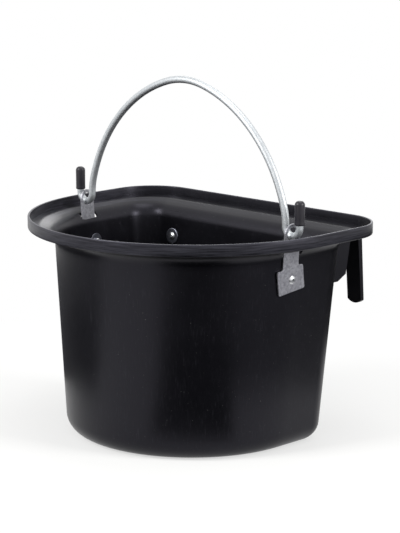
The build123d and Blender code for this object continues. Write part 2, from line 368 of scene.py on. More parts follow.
def lathe(name: str, outline: Sequence[Flat], steps: int) -> Piece:
    """Turn an outline about the Z axis into a closed solid.

    Args:
        name: The piece's name.
        outline: Radius and height of each point, in millimetres.
        steps: How many steps make the full turn.

    Returns:
        The turned piece, with its axis on the Z axis.
    """
    piece = draw(name, [(radius * MM, 0.0, height * MM) for radius, height in outline])
    pick(piece, Element.VERTEX)
    bpy.ops.mesh.spin(steps=steps, angle=2 * math.pi, center=(0, 0, 0), axis=(0, 0, 1))
    close(piece)
    return weld(piece)


def block(name: str, size: Point, place: Matrix) -> Piece:
    """Make a plain block to cut with.

    Args:
        name: The block's name.
        size: Its length along each of its axes, in millimetres.
        place: Where its middle and axes go.

    Returns:
        The block at its place.
    """
    piece = start(name, bpy.ops.mesh.primitive_cube_add, size=MM)
    bpy.ops.transform.resize(value=size)
    settle(piece)
    return stand(piece, place)


def arc(centre: Flat, radius: float, first: float, last: float, steps: int) -> list[Flat]:
    """Points along an arc in a plane, the two ends included, between two bearings in degrees.

    Args:
        centre: The arc's centre.
        radius: Its radius.
        first: The bearing where it starts.
        last: The bearing where it ends.
        steps: How many steps it has.

    Returns:
        The points, one more than the steps.
    """
    turns = [math.radians(first + (last - first) * step / steps) for step in range(steps + 1)]
    return [(centre[0] + radius * math.cos(t), centre[1] + radius * math.sin(t)) for t in turns]


def dress(
    piece: Piece,
    finish: Material,
    sharp: float,
    body: str,
    node: str,
    flat: bool = False,
) -> None:
    """Finish and shade a piece, tie it to its body, and hide the frame's node that it stands for.

    Args:
        piece: The modelled piece.
        finish: Its material.
        sharp: The angle from which an edge stays sharp, in degrees.
        body: The body it moves with.
        node: The frame's node that it stands for.
        flat: Whether its large flat faces set the shading, and not its rounded edges.
    """
    piece.data.materials.append(finish)
    take(piece)
    bpy.ops.object.shade_smooth_by_angle(angle=math.radians(sharp))
    if flat:
        modify(piece, "WEIGHTED_NORMAL", mode="FACE_AREA", weight=50, keep_sharp=True)
    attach(piece, body)
    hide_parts(node)
    LOG.info("%s: %d faces, moves with %s", piece.name, len(piece.data.polygons), body)


def dress_pair(
    right: Piece,
    finish: Material,
    sharp: float,
    body: str,
    node: str,
    flat: bool = False,
) -> None:
    """Copy a right-hand piece to the left, and dress both.

    Args:
        right: The right-hand piece, whose name begins with its side.
        finish: Their material.
        sharp: The angle from which an edge stays sharp, in degrees.
        body: The body they move with.
        node: The names of the frame's nodes, without the side.
        flat: Whether their large flat faces set the shading.
    """
    left = mirrored(right, right.name.replace("right", "left"))
    for side, piece in ((Side.RIGHT, right), (Side.LEFT, left)):
        dress(piece, finish, sharp, body, f"{side.label}_{node}", flat)


# ---- finishes -------------------------------------------------------------------------------


def linear(code: str) -> tuple[float, float, float, float]:
    """Turn an sRGB hex colour to linear.

    Args:
        code: The colour, such as "#1a1a1e".

    Returns:
        Red, green, blue and full opacity.
    """
    parts = [int(code[place : place + 2], 16) / 255 for place in (1, 3, 5)]
    values = [p / 12.92 if p <= 0.04045 else ((p + 0.055) / 1.055) ** 2.4 for p in parts]
    return (values[0], values[1], values[2], 1.0)


def add(
    tree: Tree,
    kind: str,
    settings: dict[str | int, object] | None = None,
    links: dict[str | int, Socket] | None = None,
    stops: Sequence[tuple[float, str]] = (),
) -> bpy.types.Node:
    """Add a node with its settings and links.

    Args:
        tree: The node tree.
        kind: Blender's node type.
        settings: Values by the name or number of an input, or by the name of a property.
        links: Sockets to link, by the name or number of the input.
        stops: Places and colours of a colour ramp.

    Returns:
        The new node.
    """
    node = tree.nodes.new(kind)
    for key, value in (settings or {}).items():
        if isinstance(key, int) or key in node.inputs:
            node.inputs[key].default_value = value
        else:
            setattr(node, key, value)
    for key, socket in (links or {}).items():
        tree.links.new(socket, node.inputs[key])
    for count, (place, code) in enumerate(stops):
        ramp = node.color_ramp.elements
        stop = ramp[count] if count < 2 else ramp.new(place)
        stop.position = place
        stop.color = linear(code)
    return node


def make_material(name: str, surface: Callable[[Tree], Socket]) -> Material:
    """Make a material with a surface of its own nodes.

    Args:
        name: The material's name.
        surface: Fills the empty node tree and gives the surface's socket.

    Returns:
        The material.
    """
    material = bpy.data.materials.new(name)
    material.use_nodes = True
    tree = material.node_tree
    tree.nodes.clear()
    add(tree, "ShaderNodeOutputMaterial", {}, {"Surface": surface(tree)})
    return material


def stretched(tree: Tree, scale: Point) -> Socket:
    """Object coordinates with each axis scaled.

    Args:
        tree: The node tree.
        scale: The scale along X, Y and Z.

    Returns:
        The scaled coordinates.
    """
    place = add(tree, "ShaderNodeTexCoord")
    links = {"Vector": place.outputs["Object"]}
    return add(tree, "ShaderNodeMapping", {"Scale": scale}, links).outputs[0]


@dataclass(frozen=True)
class MouldedPolyethylene:
    """Black polyethylene, injection moulded: satin, with scuffs, dust and a faint orange peel."""

    name: str = "moulded_polyethylene"
    colour: str = "#08080b"
    scuffed: str = "#29292e"
    # The lip band's rubbed colour is partly wear and partly a painted sheen and painted highlight.
    rubbed: str = "#3e3e45"
    dust: str = "#9a9996"
    roughness: float = 0.30
    specular: float = 0.30
    sheen_tint: str = "#eeebff"
    flow_mm: float = 45.0
    peel_mm: float = 2.2
    scratch_mm: float = 1.2
    dust_mm: float = 1.5
    streak_mm: float = 1.0
    streak_flow: float = 0.03
    streak_low: float = 0.36
    streak_high: float = 0.66
    streak_most: float = 0.8
    back_share: float = 0.15
    lip_foot: float = 234.0
    foot_fade: float = 0.8
    # From this height up, the lip's top edge takes the rubbed colour: a painted highlight along the
    # edge.
    lip_crown: float = 246.6
    crown_fade: float = 1.2
    front_edge: float = 90.0
    back_edge: float = 135.0

    def handling(self, tree: Tree, plain: Socket) -> Socket:
        """How far hands and stacking have rubbed the lip, with a painted sheen on top: streaks round
        it that are partly painted sheen, and a crown that is a painted highlight.

        Args:
            tree: The node tree.
            plain: Unscaled object coordinates.

        Returns:
            The share of rubbed skin, painted sheen and painted highlight, from 0 to 1.
        """
        place = add(tree, "ShaderNodeSeparateXYZ", {}, {0: plain}).outputs
        lip = add(
            tree,
            "ShaderNodeMapRange",
            {"From Min": (self.lip_foot - self.foot_fade) * MM, "From Max": self.lip_foot * MM},
            {"Value": place["Z"]},
        )
        # The crown: a painted highlight along the lip's top edge, drawn paler as if it caught the
        # light.
        crown = add(
            tree,
            "ShaderNodeMapRange",
            {"From Min": self.lip_crown * MM, "From Max": (self.lip_crown + self.crown_fade) * MM},
            {"Value": place["Z"]},
        )
        # Rubbing streaks round the lip, which also stand in for its glossy sheen: partly painted
        # sheen.
        streaks = add(
            tree,
            "ShaderNodeTexNoise",
            {"Scale": 1 / (self.streak_mm * MM), "Detail": 3.0, "Roughness": 0.6},
            {"Vector": stretched(tree, (self.streak_flow, self.streak_flow, 1))},
        )
        bands = add(
            tree,
            "ShaderNodeMapRange",
            {
                "From Min": self.streak_low,
                "From Max": self.streak_high,
                "To Max": self.streak_most,
            },
            {"Value": streaks.outputs["Fac"]},
        )
        # Towards the flat back, the rubbed streaks and their painted sheen fade to a small share.
        front = add(
            tree,
            "ShaderNodeMapRange",
            {
                "From Min": self.back_edge * MM,
                "From Max": self.front_edge * MM,
                "To Min": self.back_share,
            },
            {"Value": place["Y"]},
        )
        share = lip.outputs[0]
        for operation, other in (("MULTIPLY", front), ("MULTIPLY", bands), ("MAXIMUM", crown)):
            links = {0: share, 1: other.outputs[0]}
            share = add(tree, "ShaderNodeMath", {"operation": operation}, links).outputs[0]
        return share

    def surface(self, tree: Tree) -> Socket:
        """Build the skin: scuffs, a rubbed lip that is partly painted sheen with a painted highlight
        on its top edge, dust, and an uneven satin gloss.

        Args:
            tree: The empty node tree.

        Returns:
            The surface.
        """
        plain = stretched(tree, (1, 1, 1))
        upright = stretched(tree, (1, 1, 0.06))
        noise = {}
        for mark, size, detail, rough, place in (
            # Fill and flow leave broad, barely lighter patches some centimetres across.
            ("flow", self.flow_mm, 4.0, 0.6, plain),
            # Stacking and rails leave long, fine scratches that run mostly up and down.
            ("scratch", self.scratch_mm, 3.0, 0.7, upright),
            # Feed dust settles as pale specks, drawn coarser than real so that they show.
            ("dust", self.dust_mm, 2.0, 0.5, plain),
            # The mould's skin has an orange peel of about two millimetres, microns deep.
            ("peel", self.peel_mm, 2.0, 0.5, plain),
        ):
            settings = {"Scale": 1 / (size * MM), "Detail": detail, "Roughness": rough}
            pattern = add(tree, "ShaderNodeTexNoise", settings, {"Vector": place})
            noise[mark] = pattern.outputs["Fac"]
        marks = add(
            tree,
            "ShaderNodeValToRGB",
            {},
            {"Fac": noise["scratch"]},
            [(0.57, "#000000"), (0.74, "#ffffff")],
        )
        specks = add(
            tree,
            "ShaderNodeValToRGB",
            {},
            {"Fac": noise["dust"]},
            [(0.74, "#000000"), (0.78, "#a0a0a0")],
        )
        worn = add(
            tree,
            "ShaderNodeMath",
            {"operation": "MULTIPLY"},
            {0: noise["flow"], 1: marks.outputs["Color"]},
        )
        skin = add(
            tree,
            "ShaderNodeMix",
            {"data_type": "RGBA", 6: linear(self.colour), 7: linear(self.scuffed)},
            {"Factor": worn.outputs[0]},
        )
        # The lip band: wear mixed with a painted sheen, and a painted highlight along its top edge.
        rubbed_sheen_and_highlight = add(
            tree,
            "ShaderNodeMix",
            {"data_type": "RGBA", 7: linear(self.rubbed)},
            {"Factor": self.handling(tree, plain), 6: skin.outputs[2]},
        )
        dusty = add(
            tree,
            "ShaderNodeMix",
            {"data_type": "RGBA", 7: linear(self.dust)},
            {"Factor": specks.outputs[0], 6: rubbed_sheen_and_highlight.outputs[2]},
        )
        rough = add(
            tree,
            "ShaderNodeMapRange",
            {"To Min": self.roughness - 0.05, "To Max": self.roughness + 0.09},
            {"Value": noise["flow"]},
        )
        rougher = add(
            tree,
            "ShaderNodeMath",
            {"operation": "MULTIPLY_ADD", 1: 0.12},
            {0: marks.outputs["Color"], 2: rough.outputs[0]},
        )
        bump = add(
            tree,
            "ShaderNodeBump",
            {"Strength": 0.06, "Distance": 0.1 * MM},
            {"Height": noise["peel"]},
        )
        scored = add(
            tree,
            "ShaderNodeBump",
            {"Strength": 0.10, "Distance": 0.05 * MM, "invert": True},
            {"Height": marks.outputs["Color"], "Normal": bump.outputs[0]},
        )
        tint = linear(self.sheen_tint)
        shader = add(
            tree,
            "ShaderNodeBsdfPrincipled",
            {"Specular IOR Level": self.specular, "Specular Tint": tint},
            {
                "Base Color": dusty.outputs[2],
                "Roughness": rougher.outputs[0],
                "Normal": scored.outputs[0],
            },
        )
        return shader.outputs[0]


@dataclass(frozen=True)
class ZincSteel:
    """Bare or zinc-coated metal: spangled or satin, with duller specks and a fine grain."""

    name: str
    light: str
    dark: str
    speck: str
    roughness: float
    spangle_mm: float
    grain_mm: float
    grain_share: float
    metallic: float = 1.0

    def surface(self, tree: Tree) -> Socket:
        """Build the metal: crystals of two tones, dull specks and an uneven gloss.

        Args:
            tree: The empty node tree.

        Returns:
            The surface.
        """
        plain = stretched(tree, (1, 1, 1))
        # Zinc freezes in crystals, each with its own tone.
        spangle = add(
            tree,
            "ShaderNodeTexVoronoi",
            {"Scale": 1 / (self.spangle_mm * MM), "Randomness": 1.0},
            {"Vector": plain},
        )
        tone = add(tree, "ShaderNodeSeparateColor", {}, {"Color": spangle.outputs["Color"]})
        grain = add(
            tree,
            "ShaderNodeTexNoise",
            {"Scale": 1 / (self.grain_mm * MM), "Detail": 3.0, "Roughness": 0.65},
            {"Vector": plain},
        )
        spots = add(
            tree,
            "ShaderNodeValToRGB",
            {},
            {"Fac": grain.outputs["Fac"]},
            [(0.56, "#000000"), (0.70, "#ffffff")],
        )
        crystal = add(
            tree,
            "ShaderNodeMix",
            {"data_type": "RGBA", 6: linear(self.dark), 7: linear(self.light)},
            {"Factor": tone.outputs[0]},
        )
        share = add(
            tree,
            "ShaderNodeMath",
            {"operation": "MULTIPLY", 1: self.grain_share},
            {0: spots.outputs["Color"]},
        )
        spotted = add(
            tree,
            "ShaderNodeMix",
            {"data_type": "RGBA", 7: linear(self.speck)},
            {"Factor": share.outputs[0], 6: crystal.outputs[2]},
        )
        rough = add(
            tree,
            "ShaderNodeMapRange",
            {"To Min": self.roughness - 0.06, "To Max": self.roughness + 0.12},
            {"Value": grain.outputs["Fac"]},
        )
        bump = add(
            tree,
            "ShaderNodeBump",
            {"Strength": 0.25, "Distance": 0.05 * MM},
            {"Height": grain.outputs["Fac"]},
        )
        shader = add(
            tree,
            "ShaderNodeBsdfPrincipled",
            {"Metallic": self.metallic},
            {
                "Base Color": spotted.outputs[2],
                "Roughness": rough.outputs[0],
                "Normal": bump.outputs[0],
            },
        )
        return shader.outputs[0]


@dataclass(frozen=True)
class DippedVinyl:
    """Black vinyl, dip moulded: satin and soft-edged, with faint drips and handling marks."""

    name: str = "dipped_vinyl"
    colour: str = "#0c0b0f"
    rubbed: str = "#2b2832"
    roughness: float = 0.34
    specular: float = 0.45
    mark_mm: float = 5.0

    def surface(self, tree: Tree) -> Socket:
        """Build the vinyl: soft upright marks in its colour, gloss and relief.

        Args:
            tree: The empty node tree.

        Returns:
            The surface.
        """
        marks = add(
            tree,
            "ShaderNodeTexNoise",
            {"Scale": 1 / (self.mark_mm * MM), "Detail": 4.0},
            {"Vector": stretched(tree, (1, 1, 0.25))},
        ).outputs["Fac"]
        skin = add(
            tree,
            "ShaderNodeMix",
            {"data_type": "RGBA", 6: linear(self.colour), 7: linear(self.rubbed)},
            {"Factor": marks},
        )
        rough = add(
            tree,
            "ShaderNodeMapRange",
            {"To Min": self.roughness - 0.08, "To Max": self.roughness + 0.10},
            {"Value": marks},
        )
        bump = add(
            tree, "ShaderNodeBump", {"Strength": 0.2, "Distance": 0.2 * MM}, {"Height": marks}
        )
        shader = add(
            tree,
            "ShaderNodeBsdfPrincipled",
            {"Specular IOR Level": self.specular},
            {
                "Base Color": skin.outputs[2],
                "Roughness": rough.outputs[0],
                "Normal": bump.outputs[0],
            },
        )
        return shader.outputs[0]


@dataclass(frozen=True)
class Finishes:
    """The finish of each kind of piece."""

    shell: Material
    hook: Material
    bar: Material
    bracket: Material
    washer: Material
    rivet: Material
    mandrel: Material
    cap: Material


def make_finishes() -> Finishes:
    """Make every material once.

    Returns:
        The finishes by kind of piece.
    """
    recipes = {
        "shell": MouldedPolyethylene(),
        "hook": MouldedPolyethylene(name="moulded_hook_polyethylene", roughness=0.38),
        # A dull zinc skin scatters part of the light, so bar and bracket are not all metallic.
        "bar": ZincSteel(
            "galvanised_bar", "#d6d9db", "#bbc0c4", "#8a9095",
            roughness=0.40, spangle_mm=1.1, grain_mm=0.5, grain_share=0.22, metallic=0.70,
        ),
        "bracket": ZincSteel(
            "zinc_plated_sheet", "#b9b9bf", "#97979e", "#6a6a70",
            roughness=0.36, spangle_mm=2.4, grain_mm=0.8, grain_share=0.25, metallic=0.75,
        ),
        "washer": ZincSteel(
            "zinc_plated_washer", "#9698a3", "#787a85", "#505159",
            roughness=0.30, spangle_mm=1.4, grain_mm=0.5, grain_share=0.25,
        ),
        "rivet": ZincSteel(
            "bare_aluminium", "#dadbdc", "#bfc1c3", "#8b8d90",
            roughness=0.28, spangle_mm=0.9, grain_mm=0.4, grain_share=0.3,
        ),
        "mandrel": ZincSteel(
            "snapped_steel", "#85878a", "#5f6164", "#3a3b3d",
            roughness=0.45, spangle_mm=0.5, grain_mm=0.3, grain_share=0.5,
        ),
        "cap": DippedVinyl(),
    }
    made = {kind: make_material(finish.name, finish.surface) for kind, finish in recipes.items()}
    return Finishes(**made)


# ---- shell ----------------------------------------------------------------------------------


@dataclass(frozen=True)
class DSection:
    """One level of the shell: a round front, straight sides and a flat back."""

    half_width: float
    arc_y: float
    back_y: float
    corner: float
    height: float

    def towards(self, other: "DSection", share: float) -> "DSection":
        """The level part of the way to another.

        Args:
            other: The other level.
            share: How far towards it, from 0 to 1.

        Returns:
            The level between them.
        """
        mine = (self.half_width, self.arc_y, self.back_y, self.corner, self.height)
        theirs = (other.half_width, other.arc_y, other.back_y, other.corner, other.height)
        return DSection(*(a + (b - a) * share for a, b in zip(mine, theirs)))

    def loop(self, name: str, filled: bool, front_steps: int, corner_steps: int) -> Piece:
        """Make the level's outline.

        Args:
            name: The object's name.
            filled: Whether the outline keeps its face.
            front_steps: Steps round the half circle of the front.
            corner_steps: Steps round each rear corner.

        Returns:
            The outline's object.
        """
        level = (0.0, self.arc_y * MM, self.height * MM)
        piece = start(
            name,
            bpy.ops.mesh.primitive_circle_add,
            vertices=2 * front_steps,
            radius=self.half_width * MM,
            location=level,
            fill_type="NGON",
        )
        pick(piece, Element.FACE)
        bpy.ops.mesh.bisect(plane_co=level, plane_no=(0, 1, 0), clear_outer=True)
        close(piece)
        seam = self.arc_y * MM - TOUCH
        pick(piece, Element.EDGE, lambda a, b: a.y > seam and b.y > seam)
        pull((0, (self.back_y - self.arc_y) * MM, 0))
        close(piece)
        pick(piece, Element.VERTEX, lambda place: place.y > self.back_y * MM - TOUCH)
        bevel(self.corner, corner_steps, "VERTICES")
        bpy.ops.mesh.select_all(action="SELECT")
        bpy.ops.mesh.dissolve_faces()
        if not filled:
            bpy.ops.mesh.select_all(action="SELECT")
            bpy.ops.mesh.delete(type="ONLY_FACE")
        return close(piece)


@dataclass
class BucketShell:
    """The moulded shell: floor, tapered walls, flared shoulder, ledge and upright lip."""

    wall: float = 2.5
    base: DSection = DSection(143.0, 29.3, 100.0, 27.0, 0.0)
    top: DSection = DSection(160.0, 36.0, 115.5, 31.0, 226.5)
    flare: DSection = DSection(177.0, 36.0, 133.5, 40.0, 234.5)
    ledge: DSection = DSection(190.0, 36.0, 154.0, 55.0, 234.5)
    lip: DSection = DSection(190.0, 36.0, 154.0, 55.0, 248.0)
    wall_levels: tuple[float, ...] = (0.11, 0.30, 0.50, 0.70, 0.85, 0.935)
    front_steps: int = 112
    corner_steps: int = 12
    base_edge: float = 20.0
    shoulder_edge: float = 9.0
    ledge_edge: float = 1.8
    lip_foot_edge: float = 1.6
    lip_top_edge: float = 0.9
    slot_front: float = 1.5
    slot_rear: float = 4.0
    slot_inner: float = 1.2
    slot_outer: float = 2.5
    bridge_lift: float = 5.0
    sharp: float = 28.0

    def slope(self, size: str) -> float:
        """How much a size of the outline grows for each millimetre up the wall."""
        return (getattr(self.top, size) - getattr(self.base, size)) / self.top.height

    def bridged(self, name: str, levels: Sequence[DSection]) -> Piece:
        """Join outlines one above the other with bands of faces.

        Args:
            name: The piece's name.
            levels: The outlines from the floor up.

        Returns:
            The open skin, with its floor.
        """
        skin = levels[0].loop(name, True, self.front_steps, self.corner_steps)
        below = range(len(skin.data.vertices))
        for last, level in zip(levels, levels[1:]):
            # Two outlines at one height are bridged with a step between them, which is then
            # taken out again.
            lift = self.bridge_lift if level.height == last.height else 0.0
            raised = replace(level, height=level.height + lift)
            ring = raised.loop("ring", False, self.front_steps, self.corner_steps)
            first = len(skin.data.vertices)
            take(skin)
            ring.select_set(True)
            bpy.ops.object.join()
            above = range(first, len(skin.data.vertices))
            ends = [tuple(edge.vertices) for edge in take(skin).data.edges]
            chosen = [any(a in ring and b in ring for ring in (below, above)) for a, b in ends]
            open_with(skin, Element.EDGE, chosen)
            bpy.ops.mesh.bridge_edge_loops()
            close(skin)
            below = above
            if lift:
                step = raised.height * MM - TOUCH
                pick(skin, Element.VERTEX, lambda place: place.z > step)
                bpy.ops.transform.translate(value=(0, 0, -lift * MM))
                close(skin)
        return skin

    def on_rim(self, place: Vector) -> bool:
        """Tell the ledge's outer outline from its inner one.

        Args:
            place: A place on one of them, in metres.

        Returns:
            Whether it is on the outer one.
        """
        inner, outer = self.flare, self.ledge
        half = (inner.half_width + outer.half_width) / 2
        x, y = abs(place.x) / MM, place.y / MM
        if y < inner.arc_y:
            return math.hypot(x, y - inner.arc_y) > half
        corner = (inner.corner + outer.corner) / 2
        back = (inner.back_y + outer.back_y) / 2
        aside, behind = max(0.0, x - half + corner), max(0.0, y - back + corner)
        return math.hypot(aside, behind) > corner

    def rounded(self, skin: Piece, level: DSection, edge: float, steps: int) -> None:
        """Round the skin where two bands meet.

        Args:
            skin: The open skin.
            level: The outline that the bands share.
            edge: How far the rounding reaches from it.
            steps: Steps round it.
        """
        height = level.height * MM
        shared = level.height == self.flare.height
        outer = level == self.ledge

        def on_loop(a: Vector, b: Vector) -> bool:
            """Whether an edge belongs to the outline that is rounded.

            Args:
                a: One end of the edge, in metres.
                b: Its other end.

            Returns:
                True if both ends do.
            """
            if abs(a.z - height) > LEVEL or abs(b.z - height) > LEVEL:
                return False
            return not shared or (self.on_rim(a) == outer and self.on_rim(b) == outer)

        pick(skin, Element.EDGE, on_loop)
        bevel(edge, steps)
        close(skin)

    def build(self, finishes: Finishes, seat: "BracketSeat") -> None:
        """Model the shell and dress it.

        Args:
            finishes: The finishes.
            seat: Where the brackets pass through the flare.
        """
        walls = [self.base.towards(self.top, share) for share in self.wall_levels]
        levels = [self.base, *walls, self.top, self.flare, self.ledge, self.lip]
        skin = self.bridged("shell", levels)
        for level, edge, steps in (
            (self.ledge, self.lip_foot_edge, 4),
            (self.flare, self.ledge_edge, 5),
            (self.top, self.shoulder_edge, 10),
            (self.base, self.base_edge, 10),
        ):
            self.rounded(skin, level, edge, steps)
        weld(skin)
        if min(skin.data.polygons, key=lambda face: face.center.z).normal.z > 0:
            pick(skin, Element.FACE)
            bpy.ops.mesh.flip_normals()
            close(skin)
        modify(
            skin,
            "SOLIDIFY",
            thickness=self.wall * MM,
            offset=-1.0,
            use_even_offset=True,
            use_quality_normals=True,
        )
        rim = self.lip.height * MM - LEVEL
        pick(skin, Element.EDGE, lambda a, b: a.z > rim and b.z > rim)
        bevel(self.lip_top_edge, 3)
        close(skin)
        slot = seat.slot()
        cut(skin, mirrored(slot, "slot_left"), slot)
        dress(skin, finishes.shell, self.sharp, "bucket", "bucket_shell")


@dataclass
class BracketSeat:
    """Where a bracket stands against the right-hand wall, and what passes through or hangs in it."""

    shell: BucketShell
    bracket_y: float = 18.0
    plate_z: float = 196.5
    strip_width: float = 22.0
    sheet: float = 2.0
    eye_rise: float = 51.5
    eye_hole: float = 7.2

    def plane(self) -> Matrix:
        """The wall's tangent plane at the rivet's height.

        Returns:
            X to the rear, Y up the wall and Z outwards, in metres.
        """
        top = self.shell.top
        depth = top.height - self.plate_z
        side_slope, arc_slope = self.shell.slope("half_width"), self.shell.slope("arc_y")
        half = top.half_width - side_slope * depth
        arc_y = top.arc_y - arc_slope * depth
        turn = math.asin(min(0.0, (self.bracket_y - arc_y) / half))
        outward = Vector(
            (math.cos(turn), math.sin(turn), -side_slope - math.sin(turn) * arc_slope)
        ).normalized()
        rearward = Vector((-math.sin(turn), math.cos(turn), 0.0))
        upward = outward.cross(rearward)
        place = Matrix((rearward, upward, outward)).transposed().to_4x4()
        spot = Vector((half * math.cos(turn), self.bracket_y, self.plate_z)) * MM
        return Matrix.Translation(spot) @ place

    def slot(self) -> Piece:
        """The cutting block of the right-hand slot through the flare.

        Returns:
            The block at its place.
        """
        shell = self.shell
        width = self.strip_width + shell.slot_front + shell.slot_rear
        depth = self.sheet + shell.slot_inner + shell.slot_outer
        low = shell.top.height - self.plate_z - shell.wall
        rise = shell.flare.height - shell.top.height + 3 * shell.wall
        centre = (
            (shell.slot_rear - shell.slot_front) / 2,
            low + rise / 2,
            depth / 2 - shell.slot_inner,
        )
        offset = Matrix.Translation(Vector(centre) * MM)
        return block("slot_right", (width, rise, depth), self.plane() @ offset)


# ---- brackets -------------------------------------------------------------------------------


@dataclass
class BailBrackets:
    """The two sheet brackets: riveted plate, strip through the flare, and round eye."""

    seat: BracketSeat
    plate_width: float = 37.0
    plate_height: float = 27.5
    plate_offset: float = 1.5
    plate_turn: float = 9.0
    plate_corner: float = 2.0
    inside_corner: float = 2.5
    corner_steps: int = 5
    eye_steps: int = 40
    edge: float = 0.35
    edge_angle: float = 50.0
    sharp: float = 35.0

    def outline(self) -> list[Point]:
        """The sheet's outline on its own plane, anticlockwise from the plate's foot.

        Returns:
            The outline's points in metres.
        """
        turn = math.radians(self.plate_turn)
        wide = self.plate_width / 2 - self.plate_corner
        high = self.plate_height / 2 - self.plate_corner
        strip, inner = self.seat.strip_width / 2, self.inside_corner
        steps = self.corner_steps

        def corner(x: float, y: float, bearing: float) -> list[Flat]:
            """A rounded corner of the turned plate.

            Args:
                x: The corner's centre along the plate.
                y: The corner's centre up the plate.
                bearing: Where its arc starts before the plate is turned, in degrees.

            Returns:
                The corner's points.
            """
            centre = (
                self.plate_offset + x * math.cos(turn) - y * math.sin(turn),
                x * math.sin(turn) + y * math.cos(turn),
            )
            first = bearing + self.plate_turn
            return arc(centre, self.plate_corner, first, first + 90, steps)

        def shoulder(x: float) -> Flat:
            """Centre of the inside corner between the strip and the plate's top edge.

            Args:
                x: How far along the plate it lies.

            Returns:
                The centre in millimetres.
            """
            rise = (self.plate_height / 2 + inner) / math.cos(turn)
            return (x, rise + (x - self.plate_offset) * math.tan(turn))

        runs = [
            corner(-wide, -high, 180),
            corner(wide, -high, 270),
            corner(wide, high, 0),
            arc(shoulder(strip + inner), inner, 270 + self.plate_turn, 180, steps),
            arc((0.0, self.seat.eye_rise), strip, 0, 180, self.eye_steps),
            arc(shoulder(-strip - inner), inner, 0, self.plate_turn - 90, steps),
            corner(-wide, high, 90),
        ]
        return [(x * MM, y * MM, 0.0) for run in runs for x, y in run]

    def build(self, finishes: Finishes) -> None:
        """Model the right-hand bracket, copy it to the left, and dress both.

        Args:
            finishes: The finishes.
        """
        thick = self.seat.sheet * MM
        sheet = slab("right_bracket", self.outline(), (0, 0, thick))
        drill = start(
            "eye_drill",
            bpy.ops.mesh.primitive_cylinder_add,
            vertices=56,
            radius=self.seat.eye_hole * MM,
            depth=6 * thick,
            location=(0, self.seat.eye_rise * MM, 0),
        )
        cut(sheet, drill)
        angle = math.radians(self.edge_angle)
        modify(
            sheet,
            "BEVEL",
            width=self.edge * MM,
            segments=2,
            limit_method="ANGLE",
            angle_limit=angle,
        )
        stand(sheet, self.seat.plane())
        dress_pair(
            sheet, finishes.bracket, self.sharp, "bucket", "bail_bracket", True
        )


# ---- rear hooks -----------------------------------------------------------------------------


